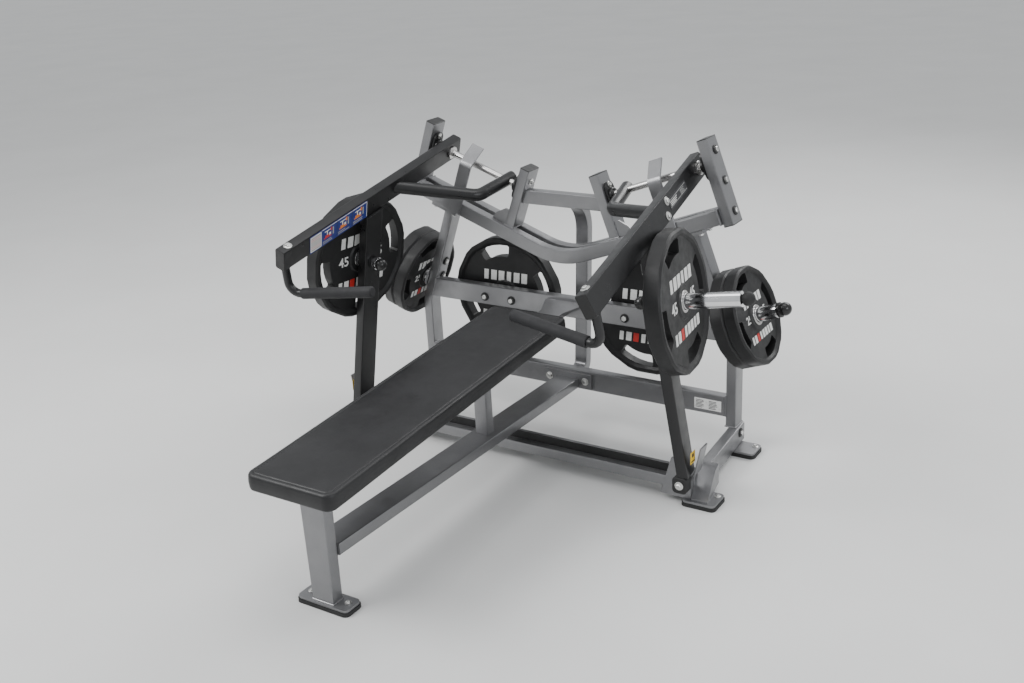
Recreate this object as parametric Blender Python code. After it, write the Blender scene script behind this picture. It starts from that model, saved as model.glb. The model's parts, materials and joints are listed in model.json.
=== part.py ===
"""A plate-loaded bench press machine with two independent press levers.

Metres, +Z up. The bench runs along Y with its foot end towards -Y, and x = 0 is the plane of
symmetry. Y positions below count from the front face of the bench's leg; the empty "machine"
moves them so that the origin is on the floor under the middle of the whole machine.

Each lever turns on a shaft that rises outwards. Pieces that stand square to that slope are
placed by s (along the right-hand shaft, outwards), y, and h (square to the shaft, upwards).
Every left-hand piece is the mirror image of its right-hand one.
"""

import bmesh
import bpy
from math import asin, cos, pi, radians, sin, tan
from mathutils import Quaternion, Vector

# Stock sizes
GAP = 0.0003  # between pieces that touch
TUBE_THIN = 0.038
TUBE_DEEP = 0.076
TUBE_CORNER = 0.005
HORN_RADIUS = 0.0245
BALL_RADIUS = 0.022
SHAFT_RADIUS = 0.0125
BORE_PLAY = 0.0004
PLATE_BORE = 0.0259

# Slope of the shafts, the gull wings and, square to them, the towers
SLOPE = radians(20)

# Bench
PAD_HALF_WIDTH = 0.152
PAD_THICK = 0.050
PAD_CORNER = 0.030
PAD_EDGE = 0.012
PAD_FRONT = -0.084
PAD_REAR = 1.165
PAD_MIDDLE_Y = 0.6
PAD_MIDDLE_TOP = 0.475
PAD_RISE = 0.065
BOARD_THICK = 0.012
BOARD_INSET = 0.020
LEG_DEPTH = 0.043
LEG_HALF_TOP = 0.0425
LEG_HALF_FOOT = 0.0388
SPINE_HALF_WIDTH = 0.047
SPINE_MIDDLE_TOP = 0.188
SPINE_RISE = -0.019
MID_POST_Y = (0.829, 0.867)
MID_POST_HALF = 0.025

# Feet
RUBBER_TOP = 0.0117
FOOT_BOTTOM = 0.012
FOOT_TOP = 0.0203
RAIL_BOTTOM = 0.020
RAIL_TOP = 0.088
BUMPER_PLACE = Vector((0.651, 0.965, 0.0803))
BUMPER_SIZE = (0.050, 0.056, 0.0382, 0.013, 0.003)  # wide, tall, thick, corner, eased edge

# Rear frame
UPRIGHT_X = 0.6363
UPRIGHT_Y = 1.4533
UPRIGHT_DEEP = 0.0635
UPRIGHT_BEND_Z = 0.38
BEAM_Y = 1.4142
LOW_TUBE_Z = (0.1265, 0.2025)
BEAM_Z = (0.4025, 0.4785)
WING_H = 0.5874
WING_TALL = 0.050
WING_BEND = 0.28
FRONT_WING_Y = 1.395
REAR_WING_Y = 1.459
TOWER_Y = 1.428
OUTER_TOWER_S = 0.874
OUTER_TOWER_H = (0.552, 0.8395)
INNER_TOWER_S = 0.451
INNER_TOWER_TOP = 0.838
TOP_BAR_Z = (0.816, 0.867)
TOP_BAR_Y = 1.4235
COLUMN_HEEL_Y = 1.522
COLUMN_KNEE = Vector((0, 1.572, 0.785))
COLUMN_TOP_Z = 0.8375
COLUMN_LOW_BEND = 0.035
COLUMN_HIGH_BEND = 0.12
CENTRE_HALF_WIDTH = 0.0255
STORE_X = 0.296
STORE_Z = 0.434
STORE_LENGTH = 0.168
SIDE_STORE_Y = 1.440
SIDE_STORE_H = 0.233
SIDE_STORE_LENGTH = 0.174

# Levers
PIVOT_S = 0.658
PIVOT_H = 0.756
ARM_S = 0.7975
ARM_FALL = radians(12.96)
ARM_FRONT_Y = 0.568
ARM_TAIL = 0.050
POST_FOOT = Vector((0.6565, 1.005, 0.1102))
HORN_TILT = radians(8.3)
HORN_YAW = radians(6.2)
PLATE_FACE = Vector((0.651, 1.019, 0.682))
PLATE_RADIUS = 0.225
PLATE_THICK = 0.0555
HORN_REACH = 0.173
GRIP_RADIUS = 0.0185
HANDLE_RADIUS = 0.014
BRACE_RADIUS = 0.0225
SIDE_PLATE_RADIUS = 0.170
SIDE_PLATE_THICK = 0.048
SLOT_COUNT = 4
SLOT_TURN = radians(14)
SLOT_HALF = radians(21)
SLOT_INNER = 0.66
SLOT_OUTER = 0.86

REAR_END = BEAM_Y + TUBE_THIN + GAP + 0.008 + STORE_LENGTH + 0.019 + BALL_RADIUS
ORIGIN_Y = (PAD_FRONT + REAR_END) / 2
SIDES = {"right": 1, "left": -1}

X = Vector((1, 0, 0))
Y = Vector((0, 1, 0))
Z = Vector((0, 0, 1))
UP_SHAFT = Vector((cos(SLOPE), 0, sin(SLOPE)))
OFF_SHAFT = Vector((-sin(SLOPE), 0, cos(SLOPE)))
PIVOT = UP_SHAFT * PIVOT_S + Y * TOWER_Y + OFF_SHAFT * PIVOT_H


# Materials

def material(name, colour, roughness, metallic):
    made = bpy.data.materials.new(name)
    made.use_nodes = True
    shader = made.node_tree.nodes["Principled BSDF"]
    shader.inputs["Base Color"].default_value = (*colour, 1)
    shader.inputs["Roughness"].default_value = roughness
    shader.inputs["Metallic"].default_value = metallic
    made.diffuse_color = (*colour, 1)
    return made


def clear_scene():
    for obj in list(bpy.data.objects):
        bpy.data.objects.remove(obj, do_unlink=True)


clear_scene()
SILVER = material("silver_paint", (0.52, 0.52, 0.52), 0.38, 0.75)
BLACK = material("black_paint", (0.02, 0.02, 0.022), 0.35, 0.1)
VINYL = material("black_vinyl", (0.018, 0.018, 0.02), 0.5, 0.0)
RUBBER = material("black_rubber", (0.022, 0.022, 0.022), 0.65, 0.0)
GRIP_RUBBER = material("grip_rubber", (0.06, 0.06, 0.065), 0.7, 0.0)
CHROME = material("chrome", (0.75, 0.75, 0.76), 0.12, 1.0)
STEEL = material("bright_steel", (0.6, 0.6, 0.6), 0.3, 1.0)
BOARD = material("black_board", (0.025, 0.024, 0.023), 0.8, 0.0)


# Places

def sloped(s, y, h):
    """The point at s, y, h of the right-hand shaft's slope."""
    return UP_SHAFT * s + Y * y + OFF_SHAFT * h


def in_lever(vector):
    """A right-hand direction as the lever's empty sees it."""
    return Vector((vector.dot(UP_SHAFT), vector.y, vector.dot(OFF_SHAFT)))


def lever_point(point):
    return in_lever(point - PIVOT)


def pad_height(y, depth=0.0):
    """Height of the plane that lies depth under the pad's top."""
    return PAD_MIDDLE_TOP + PAD_RISE * (y - PAD_MIDDLE_Y) - depth


def spine_top(y):
    return SPINE_MIDDLE_TOP + SPINE_RISE * (y - PAD_MIDDLE_Y)


def empty(name, location, turn_y, parent):
    made = bpy.data.objects.new(name, None)
    made.location = location
    made.rotation_euler = (0, turn_y, 0)
    made.parent = parent
    made.empty_display_size = 0.1
    bpy.context.scene.collection.objects.link(made)
    return made


MACHINE = empty("machine", (0, -ORIGIN_Y, 0), 0, None)


# Shapes

def finish(name, bm, coat, side=1, parent=MACHINE):
    """The mesh as an object; side -1 makes it the mirror image."""
    for vert in bm.verts:
        vert.co.x *= side
    bmesh.ops.recalc_face_normals(bm, faces=bm.faces)
    mesh = bpy.data.meshes.new(name)
    bm.to_mesh(mesh)
    bm.free()
    mesh.materials.append(coat)
    mesh.shade_smooth()
    mesh.set_sharp_from_angle(angle=radians(35))
    obj = bpy.data.objects.new(name, mesh)
    obj.parent = parent
    bpy.context.scene.collection.objects.link(obj)
    return obj


def boolean(obj, other, operation):
    """Join or cut with other, which stays as a hidden helper."""
    other.hide_render = True
    other.display_type = "WIRE"
    step = obj.modifiers.new(other.name, "BOOLEAN")
    step.operation = operation
    step.solver = "EXACT"
    step.object = other
    return obj


def loft(bm, rings, closed=False):
    """Skin a row of rings; its ends are capped unless the row closes on itself."""
    loops = [[bm.verts.new(point) for point in ring] for ring in rings]
    pairs = list(zip(loops, loops[1:]))
    if closed:
        pairs.append((loops[-1], loops[0]))
    for lower, upper in pairs:
        for i in range(len(lower)):
            j = (i + 1) % len(lower)
            bm.faces.new((lower[i], lower[j], upper[j], upper[i]))
    if not closed:
        bm.faces.new(loops[0])
        bm.faces.new(loops[-1])


def rounded_rectangle(width, depth, radius=TUBE_CORNER, steps=2):
    points = []
    for corner in range(4):
        x = (width / 2 - radius) * (1 if corner in (0, 3) else -1)
        y = (depth / 2 - radius) * (1 if corner in (0, 1) else -1)
        for step in range(steps + 1):
            turn = pi / 2 * (corner + step / steps)
            points.append((x + radius * cos(turn), y + radius * sin(turn)))
    return points


def circle(radius, sides=20):
    return [(radius * cos(2 * pi * k / sides), radius * sin(2 * pi * k / sides)) for k in range(sides)]


def bent(points, radius, steps=6):
    """The path with its corners rounded to a bend radius."""
    path = [points[0]]
    for before, corner, after in zip(points, points[1:], points[2:]):
        back = (before - corner).normalized()
        ahead = (after - corner).normalized()
        half = back.angle(ahead) / 2
        centre = corner + (back + ahead).normalized() * (radius / sin(half))
        start = corner + back * (radius / tan(half)) - centre
        end = corner + ahead * (radius / tan(half)) - centre
        axis = start.cross(end)
        for step in range(steps + 1):
            path.append(centre + Quaternion(axis, (pi - 2 * half) * step / steps) @ start)
    path.append(points[-1])
    return path


def sweep(bm, path, profile, up, start_cut=None, end_cut=None):
    """Run a profile along a path: its first number goes across, its second along up.

    A ring at a bend lies in the plane that halves the bend. The cuts are the normals of the
    two end planes where an end isn't square.
    """
    runs = [(after - before).normalized() for before, after in zip(path, path[1:])]
    rings = []
    for index, point in enumerate(path):
        along = runs[max(index - 1, 0)]
        normal = along + runs[min(index, len(runs) - 1)]
        if index == 0 and start_cut:
            normal = start_cut
        if index == len(runs) and end_cut:
            normal = end_cut
        across = along.cross(up).normalized()
        up = across.cross(along)
        ring = []
        for a, b in profile:
            offset = across * a + up * b
            ring.append(point + offset - along * (offset.dot(normal) / along.dot(normal)))
        rings.append(ring)
    loft(bm, rings)


def turned(bm, origin, axis, stations, sides=16):
    """A solid of revolution; each station is a distance along the axis and a radius."""
    axis = axis.normalized()
    across = axis.orthogonal().normalized()
    other = axis.cross(across)
    rings = []
    for distance, radius in stations:
        centre = origin + axis * distance
        rings.append([centre + across * a + other * b for a, b in circle(radius, sides)])
    loft(bm, rings)


def ball_stations(centre, radius, foot, steps=5):
    """Stations of a ball from its foot distance to its far pole."""
    first = asin(max(-1, (foot - centre) / radius))
    last = radians(80)
    turns = [first + (last - first) * k / steps for k in range(steps + 1)]
    return [(centre + radius * sin(t), radius * cos(t)) for t in turns]


def extruded(bm, outline, offset):
    """A flat plate: an outline of points, and the vector through its thickness."""
    loft(bm, [outline, [point + offset for point in outline]])


def block(bm, low, high, place=lambda x, y, z: Vector((x, y, z))):
    corners = [(low[0], low[1]), (high[0], low[1]), (high[0], high[1]), (low[0], high[1])]
    loft(bm, [[place(x, y, z) for x, y in corners] for z in (low[2], high[2])])


def slab(bm, x, y, z, radius):
    """A level plate with rounded corners, from its ranges along X, Y and Z."""
    outline = rounded_rectangle(x[1] - x[0], y[1] - y[0], radius, 3)
    middle = Vector(((x[0] + x[1]) / 2, (y[0] + y[1]) / 2, 0))
    loft(bm, [[middle + Vector((a, b, level)) for a, b in outline] for level in z])


def tube(name, path, coat, up, size=(TUBE_THIN, TUBE_DEEP), side=1, parent=MACHINE, cuts=(None, None)):
    bm = bmesh.new()
    sweep(bm, path, rounded_rectangle(*size), up, *cuts)
    return finish(name, bm, coat, side, parent)


def drill(obj, name, point, axis, radius, half_length, side=1, parent=MACHINE, sides=16):
    bm = bmesh.new()
    turned(bm, point, axis, [(-half_length, radius), (half_length, radius)], sides)
    return boolean(obj, finish(name, bm, obj.data.materials[0], side, parent), "DIFFERENCE")


# Bench

def pad_slab(name, coat, inset, top, bottom, front, rear, edge):
    """A board that follows the pad's slope, with round corners and softened edges."""
    length = rear - front
    half = PAD_HALF_WIDTH - inset
    levels = [(top, edge), (top + edge * 0.3, edge * 0.3), (top + edge, 0), (bottom - edge, 0)]
    levels += [(bottom - edge * 0.3, edge * 0.3), (bottom, edge)]
    bm = bmesh.new()
    rings = []
    for depth, shrink in levels:
        outline = rounded_rectangle(2 * (half - shrink), length - 2 * shrink, PAD_CORNER - shrink, 4)
        middle = (front + rear) / 2
        rings.append([Vector((x, middle + y, pad_height(middle + y, depth))) for x, y in outline])
    loft(bm, rings)
    return finish(name, bm, coat)


def bench_pad():
    pad_slab("bench_pad", VINYL, 0, 0, PAD_THICK, PAD_FRONT, PAD_REAR, PAD_EDGE)


def pad_board():
    top = PAD_THICK + GAP
    front = PAD_FRONT + BOARD_INSET
    pad_slab("pad_board", BOARD, BOARD_INSET, top, top + BOARD_THICK, front, PAD_REAR - BOARD_INSET, 0.001)


def under_board(y):
    return pad_height(y, PAD_THICK + BOARD_THICK + 2 * GAP)


def front_leg():
    """The bench's tapered leg, welded to its foot plate."""
    bm = bmesh.new()
    rings = []
    for half, height in ((LEG_HALF_FOOT, None), (LEG_HALF_TOP, under_board)):
        outline = rounded_rectangle(2 * half, LEG_DEPTH)
        y = LEG_DEPTH / 2
        level = height or (lambda _: FOOT_TOP - 0.001)
        rings.append([Vector((a, y + b, level(y + b))) for a, b in outline])
    loft(bm, rings)
    leg = finish("front_leg", bm, SILVER)
    bm = bmesh.new()
    slab(bm, (-0.091, 0.091), (-0.008, 0.060), (FOOT_BOTTOM, FOOT_TOP), 0.014)
    boolean(leg, finish("front_leg_plate", bm, SILVER), "UNION")
    for side, sign in SIDES.items():
        drill(leg, f"leg_hole_{side}", Vector((sign * 0.067, 0.030, 0)), Z, 0.0055, 0.05, sides=12)


def rubber_foot(name, x, y, side=1):
    bm = bmesh.new()
    slab(bm, x, y, (0, RUBBER_TOP), 0.016)
    finish(name, bm, RUBBER, side)


def spine():
    """The low tube of the bench, with the flange that bolts it to the rear frame."""
    size = (2 * SPINE_HALF_WIDTH, TUBE_THIN)
    ends = (LEG_DEPTH + GAP, BEAM_Y - GAP - 0.010)
    path = [Vector((0, y, spine_top(y) - TUBE_THIN / 2)) for y in ends]
    beam = tube("spine", path, SILVER, Z, size, cuts=(Y, Y))
    bm = bmesh.new()
    block(bm, (-0.1, BEAM_Y - GAP - 0.012, 0.137), (0.1, BEAM_Y - GAP, 0.193))
    boolean(beam, finish("spine_flange", bm, SILVER), "UNION")


def mid_post():
    bm = bmesh.new()
    middle = sum(MID_POST_Y) / 2
    outline = rounded_rectangle(2 * MID_POST_HALF, MID_POST_Y[1] - MID_POST_Y[0])
    rings = []
    for height in (lambda y: spine_top(y) + GAP, under_board):
        rings.append([Vector((a, middle + b, height(middle + b))) for a, b in outline])
    loft(bm, rings)
    finish("mid_post", bm, SILVER)


def head_bracket():
    """The tongue that carries the pad's head end from the middle beam, and its rib."""
    outline = [(0.045, 1.06), (0.045, 1.31), (0.08, 1.40), (0.08, BEAM_Y - GAP)]
    outline += [(-x, y) for x, y in reversed(outline)]
    bm = bmesh.new()
    loft(bm, [[Vector((x, y, under_board(y) - drop)) for x, y in outline] for drop in (0, 0.008)])
    bracket = finish("head_bracket", bm, SILVER)
    side = [(1.19, 0.004), (BEAM_Y - GAP, 0.004), (BEAM_Y - GAP, 0.052), (1.36, 0.052)]
    bm = bmesh.new()
    extruded(bm, [Vector((-0.004, y, under_board(y) - drop)) for y, drop in side], X * 0.008)
    boolean(bracket, finish("head_bracket_rib", bm, SILVER), "UNION")


# Base

def toe_edge(y, across):
    """X of the toe's inner face, or across further out; the toes splay towards the front."""
    return 0.677 - 0.169 * (y - 0.998) + across


def side_rail(side):
    """Floor rail with its sloped toe and its two foot plates."""
    sign = SIDES[side]
    path = [Vector((0.644, UPRIGHT_Y + UPRIGHT_DEEP / 2, 0.054)), Vector((0.6655, 1.128, 0.054))]
    rail = tube(f"side_rail_{side}", path, SILVER, Z, (TUBE_THIN, RAIL_TOP - RAIL_BOTTOM), sign)
    outline = [(1.15, 0.0196), (1.15, 0.0885), (1.105, 0.0885), (0.998, 0.027), (0.998, 0.0196)]
    bm = bmesh.new()
    loft(bm, [[Vector((toe_edge(y, across), y, z)) for y, z in outline] for across in (0, 0.057)])
    boolean(rail, finish(f"rail_toe_{side}", bm, SILVER, sign), "UNION")
    for place, x, y in (("front", (0.648, 0.759), (0.988, 1.082)), ("rear", (0.606, 0.735), (1.386, 1.470))):
        bm = bmesh.new()
        slab(bm, x, y, (FOOT_BOTTOM, FOOT_TOP), 0.014)
        boolean(rail, finish(f"{place}_foot_plate_{side}", bm, SILVER, sign), "UNION")
        rubber_foot(f"{place}_rubber_foot_{side}", (x[0] - 0.003, x[1] + 0.003), (y[0] - 0.003, y[1] + 0.003), sign)
        hole = Vector((x[1] - 0.016, y[1] - 0.022, 0))
        drill(rail, f"{place}_foot_hole_{side}", hole, Z, 0.0055, 0.05, sign, sides=12)


def front_tie():
    """The cross member that joins the two toes under the bench."""
    y = 1.0622
    end = toe_edge(y, -2 * GAP)
    path = [Vector((-end, y, 0.061)), Vector((end, y, 0.061))]
    cut = Vector((1, 0.169, 0)).normalized()
    tube("front_tie", path, SILVER, Y, (TUBE_THIN, 0.099), cuts=(Vector((-cut.x, cut.y, 0)), cut))


def stop_plate(side):
    """The plate that carries the rubber stop, with guide ears on both sides of the post's foot."""
    outline = [(0.568, 0.0208), (0.674, 0.0208), (0.674, 0.085), (0.690, 0.120), (0.6835, 0.122)]
    outline += [(0.6755, 0.099), (0.640, 0.099), (0.622, 0.112), (0.617, 0.157), (0.606, 0.154)]
    bm = bmesh.new()
    extruded(bm, [Vector((x, 1.0035, z)) for x, z in outline], Y * 0.008)
    plate = finish(f"stop_plate_{side}", bm, SILVER, SIDES[side])
    ear = [Vector((0.6855, 1.030, 0.108)), Vector((0.706, 1.030, 0.204))]
    bm = bmesh.new()
    sweep(bm, ear, rounded_rectangle(0.005, 0.050, 0.001, 1), Y)
    boolean(plate, finish(f"stop_ear_{side}", bm, SILVER, SIDES[side]), "UNION")


def stop_bumper(side):
    """The rubber block at the post's foot: round corners, and both faces eased."""
    wide, tall, thick, corner, ease = BUMPER_SIZE
    rings = []
    for depth, shrink in ((0, ease), (ease, 0), (thick - ease, 0), (thick, ease)):
        outline = rounded_rectangle(wide - 2 * shrink, tall - 2 * shrink, corner - shrink, 4)
        rings.append([BUMPER_PLACE + Vector((a, depth, b)) for a, b in outline])
    bm = bmesh.new()
    loft(bm, rings)
    finish(f"stop_bumper_{side}", bm, RUBBER, SIDES[side])


# Rear frame

def slope_cut(sign):
    """The normal of an end that meets a piece leaning with the slope."""
    return Vector((sign * UP_SHAFT.x, 0, UP_SHAFT.z))


def cross_tube(name, s, y, z):
    """A level tube between the faces, at s, of two pieces that lean with the slope."""
    middle = sum(z) / 2
    end = (s - middle * sin(SLOPE)) / cos(SLOPE)
    path = [Vector((-end, y, middle)), Vector((end, y, middle))]
    tube(name, path, SILVER, Y, (z[1] - z[0], TUBE_THIN), cuts=(slope_cut(-1), slope_cut(1)))


def upright_s():
    return UPRIGHT_X * cos(SLOPE) + UPRIGHT_BEND_Z * sin(SLOPE)


def upright(side):
    """The bent outer column and the flange under the gull wings."""
    top = WING_H - WING_TALL / 2 - 0.0105
    path = [Vector((UPRIGHT_X, UPRIGHT_Y, RAIL_TOP + 3 * GAP)), Vector((UPRIGHT_X, UPRIGHT_Y, UPRIGHT_BEND_Z))]
    path.append(sloped(upright_s(), UPRIGHT_Y, top))
    size = (TUBE_THIN, UPRIGHT_DEEP)
    column = tube(f"upright_{side}", bent(path, 0.12, 4), SILVER, Y, size, SIDES[side])
    bm = bmesh.new()
    low = (upright_s() - 0.055, 1.380, top - 0.001)
    block(bm, low, (upright_s() + 0.055, 1.476, top + 0.0102), sloped)
    boolean(column, finish(f"upright_flange_{side}", bm, SILVER, SIDES[side]), "UNION")


def low_cross_tube():
    end = UPRIGHT_X - TUBE_THIN / 2 - GAP
    middle = sum(LOW_TUBE_Z) / 2
    y = BEAM_Y + TUBE_THIN / 2
    path = [Vector((-end, y, middle)), Vector((end, y, middle))]
    tube("low_cross_tube", path, SILVER, Y, (LOW_TUBE_Z[1] - LOW_TUBE_Z[0], TUBE_THIN))


def wing_path(y):
    end = sloped(OUTER_TOWER_S - TUBE_THIN / 2 - GAP, y, WING_H)
    middle = Vector((0, y, WING_H / cos(SLOPE)))
    return bent([Vector((-end.x, y, end.z)), middle, end], WING_BEND, 8)


def front_wing():
    """The front gull wing with the two bent flat bars welded to its face."""
    wing = tube("front_gull_wing", wing_path(FRONT_WING_Y), SILVER, Y, (WING_TALL, TUBE_THIN))
    for side, sign in SIDES.items():
        points = [sloped(0.677, 1.373, 0.570), sloped(0.677, 1.373, 0.764), sloped(0.677, 1.431, 0.824)]
        bm = bmesh.new()
        sweep(bm, bent(points, 0.03, 4), rounded_rectangle(0.008, 0.050, 0.001, 1), UP_SHAFT)
        boolean(wing, finish(f"guard_bar_{side}", bm, SILVER, sign), "UNION")


def rear_wing():
    tube("rear_gull_wing", wing_path(REAR_WING_Y), SILVER, Y, (WING_TALL, TUBE_THIN))


def centre_upright():
    """The centre column behind the wings, bent forward to the top bar and to the low tube."""
    low = Vector((0, BEAM_Y + TUBE_THIN + GAP, sum(LOW_TUBE_Z) / 2))
    high = Vector((0, TOP_BAR_Y + TUBE_THIN / 2 + GAP, COLUMN_TOP_Z))
    heel = Vector((0, COLUMN_HEEL_Y, low.z))
    lower = bent([low, heel, COLUMN_KNEE], COLUMN_LOW_BEND)
    upper = bent([heel, COLUMN_KNEE, high], COLUMN_HIGH_BEND, 8)
    size = (TUBE_THIN, 2 * CENTRE_HALF_WIDTH)
    tube("centre_upright", lower[:-1] + upper[1:], SILVER, X, size, cuts=(Y, Y))


def outer_tower(side):
    path = [sloped(OUTER_TOWER_S, TOWER_Y, h) for h in OUTER_TOWER_H]
    tube(f"outer_tower_{side}", path, SILVER, Y, side=SIDES[side])


def inner_tower(side):
    """The inner bearing tower on top of the gull wings, with the gusset at its foot."""
    foot = WING_H + WING_TALL / 2 + GAP
    path = [sloped(INNER_TOWER_S, TOWER_Y, h) for h in (foot, INNER_TOWER_TOP)]
    tower = tube(f"inner_tower_{side}", path, SILVER, Y, side=SIDES[side])
    face = INNER_TOWER_S + TUBE_THIN / 2 - 0.003
    outline = [(face, foot), (0.528, foot), (0.518, 0.6385), (0.487, 0.668), (face, 0.668)]
    bm = bmesh.new()
    extruded(bm, [sloped(s, 1.396, h + 0.0002) for s, h in outline], Y * 0.008)
    boolean(tower, finish(f"tower_gusset_{side}", bm, SILVER, SIDES[side]), "UNION")


def bearing(name, side, face, outward):
    """A two-bolt flange bearing on a tower's face; outward is the way its boss points along s."""
    across = UP_SHAFT * outward
    seat = sloped(face, TOWER_Y, PIVOT_H) + across * GAP
    outline = rounded_rectangle(0.098, 0.054, 0.024, 4)
    bm = bmesh.new()
    extruded(bm, [seat + OFF_SHAFT * a + Y * b for a, b in outline], across * 0.010)
    flange = finish(name, bm, BLACK, SIDES[side])
    bm = bmesh.new()
    turned(bm, seat, across, [(0.002, 0.0245), (0.018, 0.0245), (0.022, 0.0205)])
    boolean(flange, finish(f"{name}_boss", bm, BLACK, SIDES[side]), "UNION")
    drill(flange, f"{name}_bore", seat, across, SHAFT_RADIUS + 2 * BORE_PLAY, 0.05, SIDES[side])


def bearings(side):
    bearing(f"inner_bearing_{side}", side, INNER_TOWER_S + TUBE_THIN / 2, 1)
    bearing(f"outer_bearing_{side}", side, OUTER_TOWER_S - TUBE_THIN / 2, -1)


# Storage horns

def storage_horn(name, seat, axis, length, side):
    """A plate horn with its base flange and its round end cap."""
    stations = [(0, 0.040), (0.008, 0.040), (0.0085, HORN_RADIUS), (length + 0.007, HORN_RADIUS)]
    stations.append((length + 0.008, 0.019))
    stations += ball_stations(length + 0.027, BALL_RADIUS, length + 0.014)
    bm = bmesh.new()
    turned(bm, seat, axis, stations, 20)
    finish(name, bm, CHROME, SIDES[side])


def storage_horns(side):
    seat = sloped(upright_s() + TUBE_THIN / 2 + GAP, SIDE_STORE_Y, SIDE_STORE_H)
    storage_horn(f"side_horn_{side}", seat, UP_SHAFT, SIDE_STORE_LENGTH, side)
    seat = Vector((STORE_X, BEAM_Y + TUBE_THIN + GAP, STORE_Z))
    storage_horn(f"rear_horn_{side}", seat, Y, STORE_LENGTH, side)


# Levers

def arm_point(y, s=ARM_S, below=0.0):
    """A point on the arm's centre line, or below it and square to it, as the lever's empty sees it."""
    along = Vector((0, cos(ARM_FALL), sin(ARM_FALL)))
    down = Vector((0, sin(ARM_FALL), -cos(ARM_FALL)))
    return Vector((s - PIVOT_S, 0, 0)) + along * ((y - TOWER_Y) / cos(ARM_FALL)) + down * below


def horn_axis():
    level = cos(HORN_TILT)
    return in_lever(Vector((level * cos(HORN_YAW), level * sin(HORN_YAW), sin(HORN_TILT))))


def lever_arm(side, parent):
    tail = TOWER_Y + ARM_TAIL * cos(ARM_FALL)
    path = [arm_point(ARM_FRONT_Y), arm_point(tail)]
    arm = tube(f"arm_{side}", path, BLACK, X, (TUBE_DEEP, TUBE_THIN), SIDES[side], parent)
    bore = Vector((ARM_S - PIVOT_S, 0, 0))
    drill(arm, f"arm_bore_{side}", bore, X, SHAFT_RADIUS + BORE_PLAY, 0.05, SIDES[side], parent)


def lever_shaft(side, parent):
    inner = INNER_TOWER_S + TUBE_THIN / 2 + 0.0015
    outer = OUTER_TOWER_S - TUBE_THIN / 2 - 0.0015
    bm = bmesh.new()
    turned(bm, Vector((0, 0, 0)), X, [(inner - PIVOT_S, SHAFT_RADIUS), (outer - PIVOT_S, SHAFT_RADIUS)])
    finish(f"shaft_{side}", bm, STEEL, SIDES[side], parent)


def lever_brace(side, parent):
    """The bent tube that braces the arm to the shaft's inner end."""
    face = ARM_S - TUBE_THIN / 2 - GAP - PIVOT_S
    bend = Vector((0.545 - PIVOT_S, 1.285 - TOWER_Y, 0.722 - PIVOT_H))
    start = arm_point(1.127)
    start.x = face
    end = Vector((0.5255 - PIVOT_S, 0.032, 0.0066))
    bm = bmesh.new()
    sweep(bm, bent([start, bend, end], 0.05, 5), circle(BRACE_RADIUS), Z, start_cut=X)
    brace = finish(f"brace_{side}", bm, BLACK, SIDES[side], parent)
    bore = Vector((end.x, 0, 0))
    drill(brace, f"brace_bore_{side}", bore, X, SHAFT_RADIUS + BORE_PLAY, 0.06, SIDES[side], parent)


def post_top():
    return arm_point(1.0, 0.7898, TUBE_DEEP / 2 + GAP)


def lever_post(side, parent):
    """The drop post from the arm to the stop; its flat side faces along the plate horn."""
    foot = lever_point(POST_FOOT)
    top = post_top()
    up = horn_axis().cross((top - foot).normalized())
    level = in_lever(Z)
    square = Vector((0, -sin(ARM_FALL), cos(ARM_FALL)))
    post = tube(f"post_{side}", [foot, top], BLACK, up, side=SIDES[side], parent=parent, cuts=(level, square))
    point = lever_point(PLATE_FACE) - horn_axis() * 0.0911
    drill(post, f"post_bore_{side}", point, horn_axis(), SHAFT_RADIUS + BORE_PLAY, 0.06, SIDES[side], parent)


def plate_horn(side, parent):
    """The loading horn: its rod runs through the post to the round rubber knob on the inside."""
    stations = [(-d, r) for d, r in reversed(ball_stations(0.1455, 0.021, 0.132))]
    stations += [(-0.1315, 0.015), (-0.1113, 0.015), (-0.1112, SHAFT_RADIUS), (-0.0712, SHAFT_RADIUS)]
    stations += [(-0.0711, 0.038), (-0.0585, 0.038), (-0.0580, HORN_RADIUS), (HORN_REACH, HORN_RADIUS)]
    bm = bmesh.new()
    turned(bm, lever_point(PLATE_FACE), horn_axis(), stations)
    finish(f"plate_horn_{side}", bm, CHROME, SIDES[side], parent)


def horn_cap(side, parent):
    bm = bmesh.new()
    foot = HORN_REACH + GAP
    turned(bm, lever_point(PLATE_FACE), horn_axis(), ball_stations(0.191, BALL_RADIUS, foot))
    finish(f"horn_cap_{side}", bm, RUBBER, SIDES[side], parent)


def handle_points():
    start = arm_point(0.590, 0.799, TUBE_DEEP / 2 + GAP)
    corner = lever_point(Vector((0.580, 0.617, 0.665)))
    end = lever_point(Vector((0.260, 0.655, 0.702)))
    return start, corner, end


def handle(side, parent):
    start, corner, end = handle_points()
    square = Vector((0, -sin(ARM_FALL), cos(ARM_FALL)))
    inner = end + (corner - end).normalized() * 0.004
    bm = bmesh.new()
    sweep(bm, bent([start, corner, inner], 0.038), circle(HANDLE_RADIUS), Y, start_cut=square)
    finish(f"handle_{side}", bm, BLACK, SIDES[side], parent)


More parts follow.
